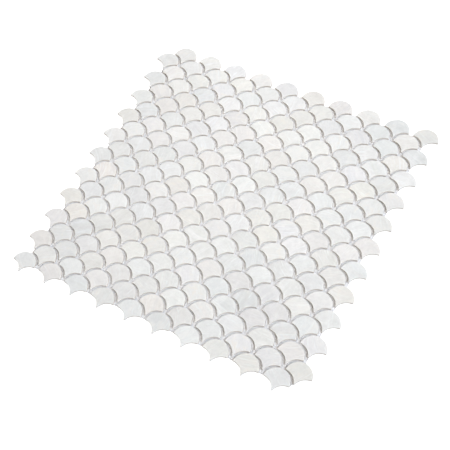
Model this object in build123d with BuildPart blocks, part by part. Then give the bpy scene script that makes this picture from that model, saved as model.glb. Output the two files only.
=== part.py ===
# Flexible mosaic sheet of fan-shaped (fish-scale) shell tiles on a fibre mesh.
# The sheet lies flat: X runs along the rows, Y from the pointed lower edge
# to the rounded upper edge, Z up out of the polished faces.
# The origin is at the centre of the sheet's outline, on its underside.
from math import hypot, sqrt
import os

from build123d import *

os.makedirs("parts", exist_ok=True)

# ---- driving dimensions, millimetres ----
half_pitch = 14.3      # half the distance between neighbouring tiles of a row
row_pitch = 12.68      # distance from one row to the next
crown_r = 11.82        # radius of the round crown
flank_r = 11.65        # radius of the two hollow flanks
flank_x = 11.62        # centres of the flanks, to the side of the crown's centre
flank_y = -11.32       # and below it
side_round = 0.25      # rounded side points
foot_round = 0.5       # rounded end of the foot, where the flanks come together
tile_thick = 2.0       # shell plate
arris = 0.2            # eased edge round the polished face
mesh_thick = 0.4       # fibre mesh with its glue
mesh_inset = 0.6       # mesh edge, behind the edges of the outermost tiles
rows = 22
columns = 10


def meet(c1, r1, c2, r2, near):
    """The crossing of two circles that is nearest to a point."""
    dx, dy = c2[0] - c1[0], c2[1] - c1[1]
    d = hypot(dx, dy)
    along = (d * d + r1 * r1 - r2 * r2) / (2 * d)
    off = sqrt(r1 * r1 - along * along)
    px, py = c1[0] + along * dx / d, c1[1] + along * dy / d
    pair = [(px - off * dy / d, py + off * dx / d), (px + off * dy / d, py - off * dx / d)]
    return min(pair, key=lambda p: hypot(p[0] - near[0], p[1] - near[1]))


def on_arc(c, r, p, q):
    """The middle of the shorter arc of a circle from p to q."""
    mx, my = (p[0] + q[0]) / 2 - c[0], (p[1] + q[1]) / 2 - c[1]
    m = hypot(mx, my)
    return (c[0] + r * mx / m, c[1] + r * my / m)


# ---- one tile, with the centre of its crown at the origin ----
crown_c = (0.0, 0.0)
right_c, left_c = (flank_x, flank_y), (-flank_x, flank_y)
right_tip = meet(crown_c, crown_r, right_c, flank_r, (crown_r, 0))
left_tip = (-right_tip[0], right_tip[1])
foot_c = (0.0, flank_y + sqrt((flank_r + foot_round) ** 2 - flank_x**2))
foot_right = (
    right_c[0] + (foot_c[0] - right_c[0]) * flank_r / (flank_r + foot_round),
    right_c[1] + (foot_c[1] - right_c[1]) * flank_r / (flank_r + foot_round),
)
foot_left = (-foot_right[0], foot_right[1])
foot_end = (0.0, foot_c[1] - foot_round)

with BuildPart() as tile:
    with BuildSketch(Plane.XY.offset(mesh_thick)) as fan:
        with BuildLine():
            ThreePointArc(left_tip, (0.0, crown_r), right_tip)
            ThreePointArc(right_tip, on_arc(right_c, flank_r, right_tip, foot_right), foot_right)
            ThreePointArc(foot_right, foot_end, foot_left)
            ThreePointArc(foot_left, on_arc(left_c, flank_r, foot_left, left_tip), left_tip)
        make_face()
        fillet(fan.vertices().sort_by(lambda v: abs(v.X))[-2:], side_round)
    extrude(amount=tile_thick)
    chamfer(faces().sort_by(Axis.Z)[-1].edges(), arris)

# ---- where the lattice stands, so that the outline is centred on the origin ----
x0 = -(2 * columns + 1) * half_pitch / 2
y0 = -((rows - 1) * row_pitch + crown_r + foot_end[1]) / 2


def seat(u, v):
    """A point of the lattice, in half pitches and row pitches."""
    return (x0 + u * half_pitch, y0 + v * row_pitch)


# ---- the rows of tiles, each of ten plates that don't touch ----
for j in range(rows):
    name = f"tile_row_{j + 1:02d}"
    with BuildPart() as tile_row:
        with Locations(*[seat(2 * i + 1 + j % 2, j) for i in range(columns)]):
            add(tile.part)
    tile_row.part.label = name
    export_step(tile_row.part, f"parts/{name}.step")

# ---- the mesh: a thin sheet cut just behind the edges of the outermost tiles ----
edge_crown_r, edge_flank_r = crown_r - mesh_inset, flank_r + mesh_inset
tip_x, tip_y = meet(crown_c, edge_crown_r, right_c, edge_flank_r, (crown_r, 0))
foot_y = meet(right_c, edge_flank_r, left_c, edge_flank_r, (0, flank_y + 4))[1]


def spot(u, v, dx, dy):
    """A point beside the centre of the tile at (u, v)."""
    x, y = seat(u, v)
    return (x + dx, y + dy)


def flank(u, v, side, upward):
    """The hollow flank of the tile at (u, v), on its right (1) or left (-1)."""
    ends = [spot(u, v, 0, foot_y), spot(u, v, side * tip_x, tip_y)]
    p, q = ends if upward else ends[::-1]
    return [p, on_arc(spot(u, v, side * flank_x, flank_y), edge_flank_r, p, q), q]


def crown(u, v, p, q):
    """The crown of the tile at (u, v), from p to q beside its centre."""
    p, q = spot(u, v, *p), spot(u, v, *q)
    return [p, on_arc(seat(u, v), edge_crown_r, p, q), q]


right, left, top = (tip_x, tip_y), (-tip_x, tip_y), (0.0, edge_crown_r)
edge = []
for k in range(columns):                       # lower edge, left to right
    edge.append(flank(2 * k + 1, 0, -1, False))
    edge.append(flank(2 * k + 1, 0, 1, True))
for j in range(1, rows, 2):                    # right edge, upwards
    edge.append(flank(2 * columns, j, 1, True))
    edge.append(crown(2 * columns, j, right, top))
for k in range(columns, 0, -1):                # upper edge, right to left
    if k < columns:
        edge.append(crown(2 * k, rows - 1, right, top))
    edge.append(crown(2 * k, rows - 1, top, left))
for j in range(rows - 2, -1, -2):              # left edge, downwards
    edge.append(crown(1, j, top, left))
    if j:
        edge.append(flank(1, j, -1, False))

with BuildPart() as mesh_backing:
    with BuildSketch():
        with BuildLine():
            for k, (p, middle, q) in enumerate(edge):
                ThreePointArc(p, middle, q)
                nxt = edge[(k + 1) % len(edge)][0]
                if hypot(nxt[0] - q[0], nxt[1] - q[1]) > 1e-6:
                    Line(q, nxt)
        make_face()
    extrude(amount=mesh_thick)
mesh_backing.part.label = "mesh_backing"
export_step(mesh_backing.part, "parts/mesh_backing.step")
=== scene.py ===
# Mosaic sheet of fan-shaped mother-of-pearl tiles on an open fibre mesh.
# Lengths are worked out in millimetres and written in metres.
import math

import bpy
import numpy as np
from mathutils import Matrix, Vector
from mathutils.geometry import tessellate_polygon


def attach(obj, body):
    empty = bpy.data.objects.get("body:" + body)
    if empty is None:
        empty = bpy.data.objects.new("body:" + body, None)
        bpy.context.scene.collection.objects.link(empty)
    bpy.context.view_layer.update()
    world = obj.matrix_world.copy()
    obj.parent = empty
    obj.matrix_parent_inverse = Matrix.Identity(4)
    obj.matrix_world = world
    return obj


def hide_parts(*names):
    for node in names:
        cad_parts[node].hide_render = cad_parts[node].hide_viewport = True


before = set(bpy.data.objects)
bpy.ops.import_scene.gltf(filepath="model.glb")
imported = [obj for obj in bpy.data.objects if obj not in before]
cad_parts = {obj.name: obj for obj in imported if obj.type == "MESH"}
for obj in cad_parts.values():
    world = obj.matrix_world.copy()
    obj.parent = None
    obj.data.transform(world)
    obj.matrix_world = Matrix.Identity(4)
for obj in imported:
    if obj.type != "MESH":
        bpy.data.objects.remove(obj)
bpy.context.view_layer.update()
scene = bpy.context.scene
MM = 0.001

# ------------------------------------------------------------------ lattice
HALF = 14.3          # half the distance between neighbours in a row
ROW = 12.68          # from one row to the next
CROWN_R, FLANK_R = 11.82, 11.65      # round crown and hollow flanks of a tile
FLANK_X, FLANK_Y = 11.62, -11.32     # centre of the right flank, from the crown's centre
SIDE_R, FOOT_R = 0.25, 0.5           # blunted side points and foot
TILE_T = 2.0         # plate thickness
MESH_T = 0.4         # mesh thickness
MESH_IN = 0.6        # mesh edge, behind the edges of the outermost tiles
ROWS, COLS = 22, 10


def meet(c1, r1, c2, r2, near):
    """The crossing of two circles nearest to a point."""
    c1, c2 = np.asarray(c1, float), np.asarray(c2, float)
    d = np.hypot(*(c2 - c1))
    along = (d * d + r1 * r1 - r2 * r2) / (2 * d)
    off = math.sqrt(r1 * r1 - along * along)
    e = (c2 - c1) / d
    n = np.array([-e[1], e[0]])
    pair = [c1 + along * e + off * n, c1 + along * e - off * n]
    return min(pair, key=lambda p: np.hypot(*(p - np.asarray(near, float))))


TOP_C = np.zeros(2)
RIGHT_C, LEFT_C = np.array([FLANK_X, FLANK_Y]), np.array([-FLANK_X, FLANK_Y])
FOOT_C = meet(RIGHT_C, FLANK_R + FOOT_R, LEFT_C, FLANK_R + FOOT_R, (0, -7))


def fan_outline(n_top=34, n_low=14, n_side=4, n_foot=6):
    """Points and outward normals of one tile's edge, anticlockwise from the right of its crown."""
    k_right = meet(TOP_C, CROWN_R - SIDE_R, RIGHT_C, FLANK_R + SIDE_R, (CROWN_R, 0))
    k_left = k_right * [-1, 1]
    k_low = FOOT_C

    def angle(v):
        return math.atan2(v[1], v[0])

    t1 = angle(k_right - TOP_C)
    pts, nrm, lip = [], [], []

    def add(centre, radius, a0, a1, n, kind, hollow=False):
        for t in np.linspace(a0, a1, n, endpoint=False):
            d = np.array([math.cos(t), math.sin(t)])
            pts.append(centre + radius * d)
            nrm.append(-d if hollow else d)
            lip.append(kind * (0.4 + 0.6 * abs(math.sin(2 * t))) if kind == 1.0 else kind)

    def up(a0, a1):
        while a1 < a0:
            a1 += 2 * math.pi
        return a1

    add(TOP_C, CROWN_R, t1, math.pi - t1, n_top, 1.0)
    a0, a1 = math.pi - t1, angle(LEFT_C - k_left)
    add(k_left, SIDE_R, a0, up(a0, a1), n_side, 0.35)
    add(LEFT_C, FLANK_R, angle(k_left - LEFT_C), angle(k_low - LEFT_C), n_low, 0.15, True)
    a0, a1 = angle(LEFT_C - k_low), angle(RIGHT_C - k_low)
    add(k_low, FOOT_R, a0, up(a0, a1), n_foot, 0.0)
    add(RIGHT_C, FLANK_R, angle(k_low - RIGHT_C), angle(k_right - RIGHT_C), n_low, 0.15, True)
    a0, a1 = angle(RIGHT_C - k_right), t1
    add(k_right, SIDE_R, a0, up(a0, a1), n_side, 0.35)
    return np.array(pts), np.array(nrm), np.array(lip)


EDGE, EDGE_N, EDGE_LIP = fan_outline()
N = len(EDGE)
STEP = np.hypot(*(np.roll(EDGE, -1, 0) - EDGE).T)
ALONG = np.concatenate([[0], np.cumsum(STEP)[:-1]])
GIRTH = STEP.sum()
X0 = -(2 * COLS + 1) * HALF / 2
Y0 = -((ROWS - 1) * ROW + CROWN_R + FOOT_C[1] - FOOT_R) / 2


def at(u, v):
    """A point of the lattice, in half pitches and row pitches."""
    return np.array([X0 + u * HALF, Y0 + v * ROW])


def seat(i, j):
    return at(2 * i + 1 + j % 2, j)


# ------------------------------------------------------------------ node helpers
class Nodes:
    """Short hand for building one material's nodes."""

    def __init__(self, name):
        self.mat = bpy.data.materials.new(name)
        self.mat.use_nodes = True
        self.tree = self.mat.node_tree
        self.tree.nodes.clear()
        self.out = self.tree.nodes.new("ShaderNodeOutputMaterial")
        self.bsdf = self.tree.nodes.new("ShaderNodeBsdfPrincipled")
        self.tree.links.new(self.bsdf.outputs[0], self.out.inputs["Surface"])

    def put(self, socket, value):
        if isinstance(value, bpy.types.NodeSocket):
            self.tree.links.new(value, socket)
        elif value is not None:
            socket.default_value = value

    def attr(self, name):
        n = self.tree.nodes.new("ShaderNodeAttribute")
        n.attribute_name = name
        return n

    def math(self, op, a, b=None, c=None, clamp=False):
        n = self.tree.nodes.new("ShaderNodeMath")
        n.operation, n.use_clamp = op, clamp
        for s, v in zip(n.inputs, (a, b, c)):
            self.put(s, v)
        return n.outputs[0]

    def vec(self, op, a, b=None):
        n = self.tree.nodes.new("ShaderNodeVectorMath")
        n.operation = op
        self.put(n.inputs[0], a)
        self.put(n.inputs[1], b)
        return n.outputs[0]

    def xyz(self, x=0.0, y=0.0, z=0.0):
        n = self.tree.nodes.new("ShaderNodeCombineXYZ")
        for s, v in zip(n.inputs, (x, y, z)):
            self.put(s, v)
        return n.outputs[0]

    def split(self, v):
        n = self.tree.nodes.new("ShaderNodeSeparateXYZ")
        self.put(n.inputs[0], v)
        return n.outputs

    def rgb(self, c):
        n = self.tree.nodes.new("ShaderNodeSeparateColor")
        self.put(n.inputs[0], c)
        return n.outputs

    def noise(self, vector, scale=1.0, detail=2.0, rough=0.5, distort=0.0):
        n = self.tree.nodes.new("ShaderNodeTexNoise")
        n.noise_dimensions = "3D"
        self.put(n.inputs["Vector"], vector)
        self.put(n.inputs["Scale"], scale)
        self.put(n.inputs["Detail"], detail)
        self.put(n.inputs["Roughness"], rough)
        self.put(n.inputs["Distortion"], distort)
        return n.outputs["Fac"]

    def span(self, v, a, b, c=0.0, d=1.0, smooth=False):
        n = self.tree.nodes.new("ShaderNodeMapRange")
        n.interpolation_type = "SMOOTHSTEP" if smooth else "LINEAR"
        n.clamp = True
        for s, x in zip(n.inputs, (v, a, b, c, d)):
            self.put(s, x)
        return n.outputs[0]

    def ramp(self, fac, stops):
        n = self.tree.nodes.new("ShaderNodeValToRGB")
        el = n.color_ramp.elements
        while len(el) < len(stops):
            el.new(0.5)
        for e, (p, c) in zip(el, stops):
            e.position, e.color = p, (*c, 1.0)
        self.put(n.inputs[0], fac)
        return n.outputs[0]

    def mix(self, fac, a, b, mode="MIX"):
        n = self.tree.nodes.new("ShaderNodeMix")
        n.data_type, n.blend_type = "RGBA", mode
        self.put(n.inputs[0], fac)
        self.put(n.inputs[6], a if isinstance(a, bpy.types.NodeSocket) else (*a, 1.0))
        self.put(n.inputs[7], b if isinstance(b, bpy.types.NodeSocket) else (*b, 1.0))
        return n.outputs[2]

    def bump(self, height, strength, distance, normal=None):
        n = self.tree.nodes.new("ShaderNodeBump")
        n.inputs["Strength"].default_value = strength
        n.inputs["Distance"].default_value = distance
        self.put(n.inputs["Height"], height)
        self.put(n.inputs["Normal"], normal)
        return n.outputs[0]


# ------------------------------------------------------------------ materials
def nacre():
    m = Nodes("mother_of_pearl")
    co = m.split(m.attr("shell_co").outputs["Vector"])       # millimetres, turned and moved tile by tile
    one, two = m.attr("shell_one"), m.attr("shell_two")
    r = [*m.rgb(one.outputs["Color"]), one.outputs["Alpha"]]
    q = [*m.rgb(two.outputs["Color"]), two.outputs["Alpha"]]
    side = m.attr("shell_side").outputs["Fac"]               # 0 on the face, 1 on the cut edge
    back = m.attr("shell_back").outputs["Fac"]

    # growth lines: long streaks that bend by an amount of the tile's own
    bow = m.math("MULTIPLY", m.math("MULTIPLY", co[1], co[1]), m.span(r[1], 0, 1, -0.022, 0.022))
    gx = m.math("ADD", co[0], bow)
    broad = m.noise(m.xyz(m.math("MULTIPLY", gx, 0.20), m.math("MULTIPLY", co[1], 0.030), co[2]), 1.0, 2.0, 0.55, 0.4)
    bands = m.noise(m.xyz(m.math("MULTIPLY", gx, 0.75), m.math("MULTIPLY", co[1], 0.06), co[2]), 1.0, 3.0, 0.6, 0.3)
    fine = m.noise(m.xyz(m.math("MULTIPLY", gx, 3.6), m.math("MULTIPLY", co[1], 0.20), co[2]), 1.0, 2.0, 0.6, 0.2)
    cloud = m.noise(m.xyz(m.math("MULTIPLY", co[0], 0.14), m.math("MULTIPLY", co[1], 0.14), co[2]), 1.0, 3.0, 0.55, 0.8)
    speck = m.noise(m.xyz(m.math("MULTIPLY", gx, 0.55), m.math("MULTIPLY", co[1], 0.38), co[2]), 1.0, 2.0, 0.6, 0.6)

    # the plate's own tone, from cool to warm and from darker to lighter
    tone = m.ramp(r[0], [
        (0.00, (0.806, 0.817, 0.820)),
        (0.35, (0.819, 0.823, 0.817)),
        (0.70, (0.826, 0.822, 0.807)),
        (1.00, (0.830, 0.816, 0.783)),
    ])
    level = m.span(q[3], 0, 1, 0.952, 1.048)
    green = m.math("MULTIPLY", level, m.span(q[0], 0, 1, 0.992, 1.012))
    tone = m.mix(1.0, tone, m.xyz(level, green, level), "MULTIPLY")
    # pale lustre colours that run with the growth lines
    hue = m.ramp(m.math("FRACT", m.math("ADD", m.math("MULTIPLY", broad, 1.6), q[0])), [
        (0.00, (1.000, 0.988, 0.976)),
        (0.28, (0.992, 0.994, 0.985)),
        (0.52, (0.988, 0.992, 1.000)),
        (0.76, (0.998, 0.989, 0.993)),
        (1.00, (1.000, 0.988, 0.976)),
    ])
    col = m.mix(m.span(q[1], 0, 1, 0.25, 1.0), tone, m.mix(1.0, tone, hue, "MULTIPLY"))
    # lighter and darker streaks
    amount = m.span(r[2], 0, 1, 0.03, 0.18)
    swing = m.math("ADD", m.math("MULTIPLY", m.math("SUBTRACT", bands, 0.5), 0.8), m.math("SUBTRACT", broad, 0.5))
    shade = m.math("ADD", 1.0, m.math("MULTIPLY", swing, amount))
    shade = m.math("ADD", shade, m.math("MULTIPLY", m.math("SUBTRACT", fine, 0.5), 0.05))
    shade = m.math("ADD", shade, m.math("MULTIPLY", m.math("SUBTRACT", cloud, 0.5), 0.24))
    shade = m.math("ADD", shade, m.math("MULTIPLY", m.math("SUBTRACT", speck, 0.5), 0.14))
    col = m.mix(1.0, col, m.xyz(shade, shade, shade), "MULTIPLY")
    # cream clouds near the hinge of the shell, in some of the plates
    cream = m.math("MULTIPLY", m.span(cloud, 0.50, 0.72, smooth=True), m.span(q[2], 0.50, 1.0, 0.0, 0.60))
    col = m.mix(cream, col, (0.83, 0.785, 0.715))
    # painted sheen: white glossy streaks of the lustre along the growth lines, in some of the plates
    sheen_streak = m.math("MULTIPLY", m.span(bands, 0.54, 0.68, smooth=True), m.span(r[3], 0.60, 0.95, 0.0, 0.4))
    col = m.mix(sheen_streak, col, (0.90, 0.90, 0.895))
    # painted highlight: the top's edge and its rounded arris are lightened, a little more round the crown than on the
    # flanks
    lip = m.attr("shell_lip").outputs["Fac"]                 # 1 at the crown's shoulders, 0 at the foot
    rim_highlight = m.math("ADD", 1.0, m.math("MULTIPLY", m.attr("shell_rim_highlight").outputs["Fac"], m.span(lip, 0.1, 0.4, 0.03, 0.052)))
    col = m.mix(1.0, col, m.xyz(rim_highlight, rim_highlight, rim_highlight), "MULTIPLY")
    # the cut edge shows the plate's layers, duller, tan round the crown; its upper part is lightened with painted light
    # and its foot darkened brown with painted shade, mostly round the crown
    height = m.split(m.attr("shell_place").outputs["Vector"])
    layer = m.noise(m.xyz(m.math("MULTIPLY", height[0], 0.12), m.math("MULTIPLY", height[1], 0.12),
                          m.math("MULTIPLY", height[2], 7.0)), 1.0, 3.0, 0.6)
    grey = m.ramp(layer, [(0.3, (0.742, 0.727, 0.705)), (0.7, (0.846, 0.833, 0.815))])
    tan = m.ramp(layer, [(0.3, (0.62, 0.51, 0.385)), (0.7, (0.77, 0.67, 0.555))])
    cut = m.mix(lip, grey, tan)
    # painted light: the top of the cut edge round the crown is lighter, where light reaches into the joint
    painted_wall_light = m.math("MULTIPLY", m.span(height[2], 1.3, 2.2, 0.0, 0.6), m.span(lip, 0.15, 0.9, 0.0, 1.0))
    cut = m.mix(painted_wall_light, cut, (0.86, 0.825, 0.78))
    # painted shade: the foot of the cut edge, deep in the joint, is darkened brown, most round the crown
    painted_foot_shade = m.math("MULTIPLY", m.span(height[2], 0.5, 1.3, m.span(q[1], 0, 1, 0.40, 0.80), 0.0, smooth=True), m.span(lip, 0, 1, 0.1, 1.0))
    cut = m.mix(painted_foot_shade, cut, (0.42, 0.31, 0.205))
    col = m.mix(m.span(side, 0.20, 0.85, smooth=True), col, cut)
    # the back is ground, not polished, with dried glue on it
    glue = m.noise(m.xyz(m.math("MULTIPLY", height[0], 0.35), m.math("MULTIPLY", height[1], 0.35), 0.0), 1.0, 3.0, 0.6)
    dull = m.ramp(glue, [(0.35, (0.66, 0.645, 0.61)), (0.65, (0.78, 0.77, 0.745))])
    col = m.mix(back, col, dull)

    m.put(m.bsdf.inputs["Base Color"], col)
    rough = m.math("ADD", 0.20, m.math("MULTIPLY", bands, 0.12))
    rough = m.math("ADD", rough, m.math("MULTIPLY", m.math("MAXIMUM", side, back), 0.30))
    m.put(m.bsdf.inputs["Roughness"], rough)
    m.bsdf.inputs["IOR"].default_value = 1.58
    m.bsdf.inputs["Thin Film Thickness"].default_value = 340.0
    m.bsdf.inputs["Thin Film IOR"].default_value = 1.50
    wave = m.math("ADD", m.math("MULTIPLY", cloud, 1.0), m.math("MULTIPLY", fine, 0.10))
    m.put(m.bsdf.inputs["Normal"], m.bump(wave, 0.35, 0.00012))
    return m.mat


def yarn():
    m = Nodes("glass_fibre_yarn")
    co = m.split(m.attr("yarn_co").outputs["Vector"])         # along, around, number
    twist = m.math("ADD", m.math("MULTIPLY", co[0], 2.4), co[1])
    ply = m.noise(m.xyz(m.math("MULTIPLY", co[0], 0.35), m.math("MULTIPLY", co[1], 3.0), co[2]), 1.0, 3.0, 0.6)
    glue = m.noise(m.xyz(m.math("MULTIPLY", co[0], 0.16), 0.0, co[2]), 1.0, 2.0, 0.5)
    col = m.ramp(ply, [(0.25, (0.80, 0.80, 0.82)), (0.75, (0.915, 0.915, 0.935))])
    col = m.mix(m.span(glue, 0.45, 0.75, 0.0, 0.5), col, (0.89, 0.885, 0.875))
    m.put(m.bsdf.inputs["Base Color"], col)
    m.put(m.bsdf.inputs["Roughness"], m.span(glue, 0.3, 0.7, 0.55, 0.32))
    m.put(m.bsdf.inputs["Normal"], m.bump(m.math("SINE", m.math("MULTIPLY", twist, 6.0)), 0.4, 0.00003))
    return m.mat


def floor_paper(name, colour, glow):
    m = Nodes(name)
    m.bsdf.inputs["Base Color"].default_value = (*colour, 1.0)
    m.bsdf.inputs["Roughness"].default_value = 0.9
    m.bsdf.inputs["Specular IOR Level"].default_value = 0.1
    m.bsdf.inputs["Emission Color"].default_value = (1.0, 1.0, 1.0, 1.0)
    m.bsdf.inputs["Emission Strength"].default_value = glow
    return m.mat


# ------------------------------------------------------------------ tiles
NACRE = nacre()
HUB = np.array([0.0, 4.0])


def tile_mesh(rng, i, j):
    """Vertices (mm, in the sheet's frame), faces and per-vertex values of one plate."""
    turn = math.radians(np.clip(rng.normal(0, 0.6), -1.5, 1.5))
    shift = np.clip(rng.normal(0, 0.13, 2), -0.3, 0.3)
    arris = 0.20 * (1 + rng.uniform(-0.2, 0.3))
    top = MESH_T + TILE_T - rng.uniform(0.02, 0.10)
    tilt = np.clip(rng.normal(0, 0.0035, 2), -0.008, 0.008)
    dome = rng.uniform(-0.02, 0.05)
    wobble = np.zeros(N)
    for k in range(2, 8):
        wobble += rng.normal(0, 0.045 / k**0.6) * np.cos(2 * math.pi * k * ALONG / GIRTH + rng.uniform(0, 6.28))
    # the outermost plates keep to the sheet's outline
    border = [i == 0 and j % 2 == 0, i == COLS - 1 and j % 2 == 1, j == 0, j == ROWS - 1]
    for axis, sign in ((0, border[0] - border[1]), (1, border[2] - border[3])):
        if sign:
            shift[axis] = sign * (abs(shift[axis]) + 0.04)
    edge = EDGE + EDGE_N * np.clip(wobble, -0.15, 0.0 if any(border) else 0.10)[:, None]

    # the last of each ring's values is its share of the painted highlight along the top's edge
    rings, side, rim_highlight = [], [], []

    def ring(p, z, s, glow):
        rings.append(np.column_stack([p, np.full(N, z)]))
        side.append(np.full(N, s))
        rim_highlight.append(np.full(N, glow))

    ring(edge - EDGE_N * 0.12, MESH_T, 1.0, 0.0)
    ring(edge, MESH_T + 0.10, 1.0, 0.0)
    ring(edge, top - arris, 1.0, 0.0)
    for t in (0.25, 0.5, 0.75):
        h = t * math.pi / 2
        ring(edge - EDGE_N * arris * (1 - math.cos(h)), top - arris + arris * math.sin(h), 1.0 - t, t)
    ring(edge - EDGE_N * arris, top, 0.0, 1.0)
    inner = edge - EDGE_N * (arris + 0.10)
    ring(inner, top, 0.0, 1.0)
    for t, glow in ((0.94, 0.6), (0.78, 0.0), (0.42, 0.0)):
        ring(HUB + (inner - HUB) * t, top, 0.0, glow)
    v = np.concatenate(rings + [np.array([[*HUB, top]])])
    s = np.concatenate(side + [np.zeros(1)])
    rim_highlight = np.concatenate(rim_highlight + [np.zeros(1)])
    lip = np.append(np.tile(EDGE_LIP, len(rings)), 0.0)
    n_ring = len(rings)
    # a plate lies a little out of level and its face is not quite flat
    lift = np.clip((v[:, 2] - MESH_T - 0.1) / (top - MESH_T - 0.1), 0, 1)
    v[:, 2] += lift * (v[:, :2] @ tilt - dome * ((v[:, 0] / 13) ** 2 + ((v[:, 1] - 2) / 10) ** 2) * 0.5)
    v[:, 2] = np.minimum(v[:, 2], MESH_T + TILE_T)
    local = v.copy()
    c, sn = math.cos(turn), math.sin(turn)
    v[:, :2] = v[:, :2] @ np.array([[c, sn], [-sn, c]]) + shift + seat(i, j)

    k = np.arange(N)
    nxt = (k + 1) % N
    quads = [np.column_stack([b * N + k, b * N + nxt, (b + 1) * N + nxt, (b + 1) * N + k]) for b in range(n_ring - 1)]
    last = (n_ring - 1) * N
    tris = np.column_stack([last + k, last + nxt, np.full(N, n_ring * N)])
    faces = [f.tolist() for f in np.concatenate(quads)] + [f.tolist() for f in tris]
    faces.append(list(range(N - 1, -1, -1)))

    # growth-line coordinates of the plate's own
    g = rng.uniform(0, 2 * math.pi)
    gc, gs = math.cos(g), math.sin(g)
    grow = np.column_stack([local[:, 0] * gc + local[:, 1] * gs, -local[:, 0] * gs + local[:, 1] * gc,
                            np.zeros(len(local))])
    grow += [*rng.uniform(-6, 6, 2), 37.0 * rng.uniform(0, 1) + 11.0 * (i + COLS * j)]
    return v, faces, np.column_stack([s, rim_highlight, lip]), grow, local, rng.uniform(0, 1, 8)


def new_piece(name, v, faces, mat):
    me = bpy.data.meshes.new(name)
    me.from_pydata((v * MM).tolist(), [], faces)
    me.materials.append(mat)
    me.polygons.foreach_set("use_smooth", np.ones(len(me.polygons), bool))
    ob = bpy.data.objects.new(name, me)
    scene.collection.objects.link(ob)
    return ob


def values(me, name, kind, data):
    a = me.attributes.new(name, kind, "POINT")
    key = {"FLOAT": "value", "FLOAT_VECTOR": "vector", "FLOAT_COLOR": "color"}[kind]
    a.data.foreach_set(key, np.ascontiguousarray(data, np.float32).ravel())


for j in range(ROWS):
    rng = np.random.default_rng(7100 + j)
    vs, fs, side, grow, place, back, rnd = [], [], [], [], [], [], []
    base = 0
    for i in range(COLS):
        v, faces, s, g, local, r8 = tile_mesh(rng, i, j)
        vs.append(v)
        fs += [[base + x for x in f] for f in faces]
        side.append(s)
        grow.append(g)
        place.append(local + [40.0 * i, 30.0 * j, 0])
        b = np.zeros(len(v))
        b[:N] = 1.0
        back.append(b)
        rnd.append(np.tile(r8, (len(v), 1)))
        base += len(v)
    node = f"tile_row_{j + 1:02d}"
    ob = new_piece(f"fan_tiles_{j + 1:02d}", np.concatenate(vs), fs, NACRE)
    me = ob.data
    rnd = np.concatenate(rnd)
    values(me, "shell_co", "FLOAT_VECTOR", np.concatenate(grow))
    values(me, "shell_place", "FLOAT_VECTOR", np.concatenate(place))
    side = np.concatenate(side)
    values(me, "shell_side", "FLOAT", side[:, 0])
    # the painted highlight along each plate's top edge
    values(me, "shell_rim_highlight", "FLOAT", side[:, 1])
    values(me, "shell_lip", "FLOAT", side[:, 2])
    values(me, "shell_back", "FLOAT", np.concatenate(back))
    values(me, "shell_one", "FLOAT_COLOR", rnd[:, :4])
    values(me, "shell_two", "FLOAT_COLOR", rnd[:, 4:])
    me.set_sharp_from_angle(angle=math.radians(40))
    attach(ob, "root")
    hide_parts(node)


# ------------------------------------------------------------------ mesh
def mesh_outline(n=12):
    """The mesh's scalloped edge as a polygon, anticlockwise."""
    crown_r, flank_r = CROWN_R - MESH_IN, FLANK_R + MESH_IN
    right = meet(TOP_C, crown_r, RIGHT_C, flank_r, (CROWN_R, 0))
    left = right * [-1, 1]
    top = np.array([0.0, crown_r])
    foot = meet(RIGHT_C, flank_r, LEFT_C, flank_r, (0, -7))
    out = []

    def arc(u, v, centre, radius, p, q):
        p, q = p - centre, q - centre
        a0, a1 = math.atan2(p[1], p[0]), math.atan2(q[1], q[0])
        turn = (a1 - a0 + math.pi) % (2 * math.pi) - math.pi
        for t in np.linspace(0, 1, n):
            out.append(at(u, v) + centre + radius * np.array([math.cos(a0 + t * turn), math.sin(a0 + t * turn)]))

    last = 2 * COLS
    for k in range(COLS):
        arc(2 * k + 1, 0, LEFT_C, flank_r, left, foot)
        arc(2 * k + 1, 0, RIGHT_C, flank_r, foot, right)
    for j in range(1, ROWS, 2):
        arc(last, j, RIGHT_C, flank_r, foot, right)
        arc(last, j, TOP_C, crown_r, right, top)
    for k in range(COLS, 0, -1):
        if k < COLS:
            arc(2 * k, ROWS - 1, TOP_C, crown_r, right, top)
        arc(2 * k, ROWS - 1, TOP_C, crown_r, top, left)
    for j in range(ROWS - 2, -1, -2):
        arc(1, j, TOP_C, crown_r, top, left)
        if j:
            arc(1, j, LEFT_C, flank_r, left, foot)
    return np.array(out)


OUTLINE = mesh_outline()


def inside(axis, value):
    """The stretches of the line axis = value that lie on the mesh."""
    p, q = OUTLINE, np.roll(OUTLINE, -1, 0)
    hit = (p[:, axis] <= value) != (q[:, axis] <= value)
    t = (value - p[hit, axis]) / (q[hit, axis] - p[hit, axis])
    along = np.sort(p[hit, 1 - axis] + t * (q[hit, 1 - axis] - p[hit, 1 - axis]))
    return [(a, b) for a, b in zip(along[0::2], along[1::2]) if b - a > 1.6]


PITCH = 2.6
WARP_X = np.arange(-57, 58) * PITCH + 0.4
WEFT_Y = np.arange(-55, 56) * PITCH - 0.3


def strand(store, pts, across, wide, high, sides, number):
    """Adds one yarn along pts: a flat tube of an even section."""
    a = 2 * math.pi * (np.arange(sides) + 0.5) / sides
    up = np.array([0.0, 0.0, 1.0])
    off = np.cos(a)[:, None] * np.asarray(across, float) * wide / 2 + np.sin(a)[:, None] * up * high / 2
    v = (pts[:, None, :] + off[None]).reshape(-1, 3)
    n = len(pts)
    k = np.arange(sides)
    nx = (k + 1) % sides
    b = store["base"]
    for s in range(n - 1):
        f = np.column_stack([s * sides + k, s * sides + nx, (s + 1) * sides + nx, (s + 1) * sides + k]) + b
        store["faces"] += f.tolist()
    store["faces"].append((b + k[::-1]).tolist())
    store["faces"].append((b + (n - 1) * sides + k).tolist())
    far = np.concatenate([[0], np.cumsum(np.linalg.norm(np.diff(pts, axis=0), axis=1))])
    store["co"].append(np.column_stack([np.repeat(far, sides), np.tile(a, n), np.full(n * sides, 3.7 * number)]))
    store["v"].append(v)
    store["base"] += n * sides


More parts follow.
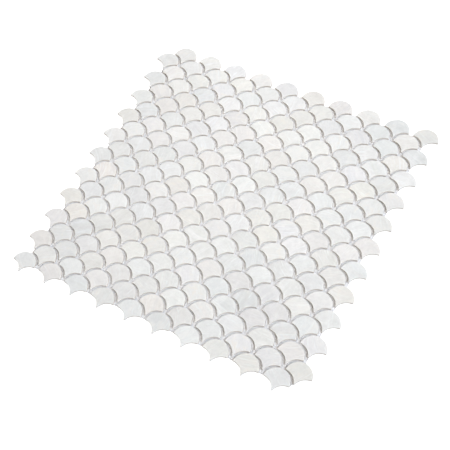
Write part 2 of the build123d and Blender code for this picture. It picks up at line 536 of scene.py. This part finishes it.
def cloth(axis):
    """All the yarns that run along X (axis 1 is fixed) or along Y (axis 0 is fixed)."""
    rng = np.random.default_rng(915 + axis)
    store = {"v": [], "faces": [], "co": [], "base": 0}
    lines, cross = (WEFT_Y, WARP_X) if axis == 1 else (WARP_X, WEFT_Y)
    mid = MESH_T / 2
    for k, where in enumerate(lines):
        drift = rng.normal(0, 0.09)
        ph = rng.uniform(0, 6.28, 2)
        for lo, hi in inside(axis, where):
            lo, hi = lo + rng.uniform(0, 0.35), hi - rng.uniform(0, 0.35)
            keep = np.nonzero((cross > lo + 0.3) & (cross < hi - 0.3))[0]
            t = np.concatenate([[lo], cross[keep], [hi]])
            m = np.concatenate([[keep[0] - 1 if len(keep) else 0], keep, [keep[-1] + 1 if len(keep) else 1]])
            sway = where + drift + 0.10 * np.sin(t * 0.045 + ph[0]) + 0.05 * np.sin(t * 0.19 + ph[1])
            flip = np.where((m + k) % 2 == 0, 1.0, -1.0)
            if axis == 1:
                pts = np.column_stack([t, sway, mid + 0.05 * flip])
                strand(store, pts, (0, 1, 0), 0.62, 0.20, 6, k)
            else:
                for hand in (1.0, -1.0):
                    pts = np.column_stack([sway + 0.17 * hand * flip, t, mid - 0.05 * flip + 0.03 * hand])
                    strand(store, pts, (1, 0, 0), 0.34, 0.18, 3, k + 0.5 * hand)
    return np.concatenate(store["v"]), store["faces"], np.concatenate(store["co"])


YARN = yarn()
for name, axis in (("mesh_weft", 1), ("mesh_warp", 0)):
    v, faces, co = cloth(axis)
    v[:, 2] = np.clip(v[:, 2], 0.01, MESH_T)
    ob = new_piece(name, v, faces, YARN)
    values(ob.data, "yarn_co", "FLOAT_VECTOR", co)
    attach(ob, "root")
    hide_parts("mesh_backing")

# ------------------------------------------------------------------ studio
# a white table: plain under the sheet, lit through from below all round it, on a pale floor
FAR = 6000.0
square = [Vector((x, y, 0)) for x, y in ((-FAR, -FAR), (FAR, -FAR), (FAR, FAR), (-FAR, FAR))]
hole = [Vector((x, y, 0)) for x, y in OUTLINE]
ring = [list(t) for t in tessellate_polygon([square, hole])]
for name, verts, faces, colour, glow in (
    ("table", np.array(hole), [list(range(len(hole)))], (0.91, 0.907, 0.92), 0.0),
    ("table_lit", np.array(square + hole), ring, (0.50, 0.50, 0.50), 1.0),
    ("floor", np.array(square) - [0, 0, 0.5], [[0, 1, 2, 3]], (0.55, 0.55, 0.55), 0.0),
):
    floor = new_piece(name, verts, faces, floor_paper(name, colour, glow))
    if name == "table_lit":
        floor.visible_diffuse = floor.visible_glossy = floor.visible_shadow = False
    elif name == "floor":
        floor.visible_camera = False

world = bpy.data.worlds.new("studio")
scene.world = world
world.use_nodes = True
world.node_tree.nodes["Background"].inputs[0].default_value = (1.0, 1.0, 1.0, 1.0)
world.node_tree.nodes["Background"].inputs[1].default_value = 0.02


COOL, BLUE, WARM, PALE = (0.930, 0.994, 1.073), (0.847, 0.985, 1.174), (1.133, 0.990, 0.855), (1.022, 1.007, 0.953)


def softbox(name, direction, elevation, level, distance, colour, spread=0.40, aim=(0.0, 0.0, 0.0), beam=180.0):
    """A square soft light that faces aim, with a grid if its beam is narrow. direction is in degrees from +X towards +Y."""
    a, e = math.radians(direction), math.radians(elevation)
    away = distance * Vector((math.cos(e) * math.cos(a), math.cos(e) * math.sin(a), math.sin(e)))
    light = bpy.data.lights.new(name, "AREA")
    light.shape, light.size, light.color = "SQUARE", spread * distance, colour
    light.energy = level * (math.pi * distance) ** 2
    if beam < 180.0:
        half = math.radians(beam) / 2
        light.spread = 2 * half
        light.energy *= (math.tan(half) - half) / math.tan(half)
    ob = bpy.data.objects.new(name, light)
    ob.location = Vector(aim) + away
    ob.rotation_euler = (-away).to_track_quat("-Z", "Y").to_euler()
    ob.visible_camera = False
    scene.collection.objects.link(ob)
    return ob


# the main lights stand on the right, one hangs over the back half, and soft fills stand low all round
for name, direction, elevation, level, distance, colour in (
    ("right_low", 354, 30, 0.240, 8.0, COOL),
    ("right_high", 0, 47, 0.342, 8.0, COOL),
    ("right_back", 30, 30, 0.158, 6.0, COOL),
    ("back", 50, 44, 0.169, 5.0, BLUE),
    ("left_back", 120, 31, 0.237, 4.0, WARM),
    ("left", 155, 31, 0.059, 4.0, WARM),
    ("left_front", 210, 30, 0.223, 5.0, WARM),
    ("front", 255, 30, 0.069, 5.0, WARM),
    ("right_front", 303, 30, 0.194, 6.0, PALE),
):
    softbox(name, direction, elevation, level, distance, colour)
softbox("overhead", 315, 70, 0.40, 2.0, PALE, spread=0.175, aim=(0.0, 0.055, 0.0), beam=16.0)

cam = bpy.data.cameras.new("camera")
cam.sensor_width, cam.lens = 36.0, 75.92
cam.clip_start, cam.clip_end = 0.01, 50.0
cam_ob = bpy.data.objects.new("camera", cam)
CAM_X = (0.86355476, 0.48450845, -0.13973094)
CAM_Y = (-0.35439245, 0.78027015, 0.51534890)
CAM_Z = (0.35871877, -0.39551241, 0.84551214)
place = Matrix(((CAM_X[0], CAM_Y[0], CAM_Z[0]), (CAM_X[1], CAM_Y[1], CAM_Z[1]), (CAM_X[2], CAM_Y[2], CAM_Z[2]))).to_4x4()
place.translation = (0.31495, -0.35777, 0.71595)
cam_ob.matrix_world = place
scene.collection.objects.link(cam_ob)
scene.camera = cam_ob
scene.view_settings.view_transform = "Standard"
scene.view_settings.look = "None"
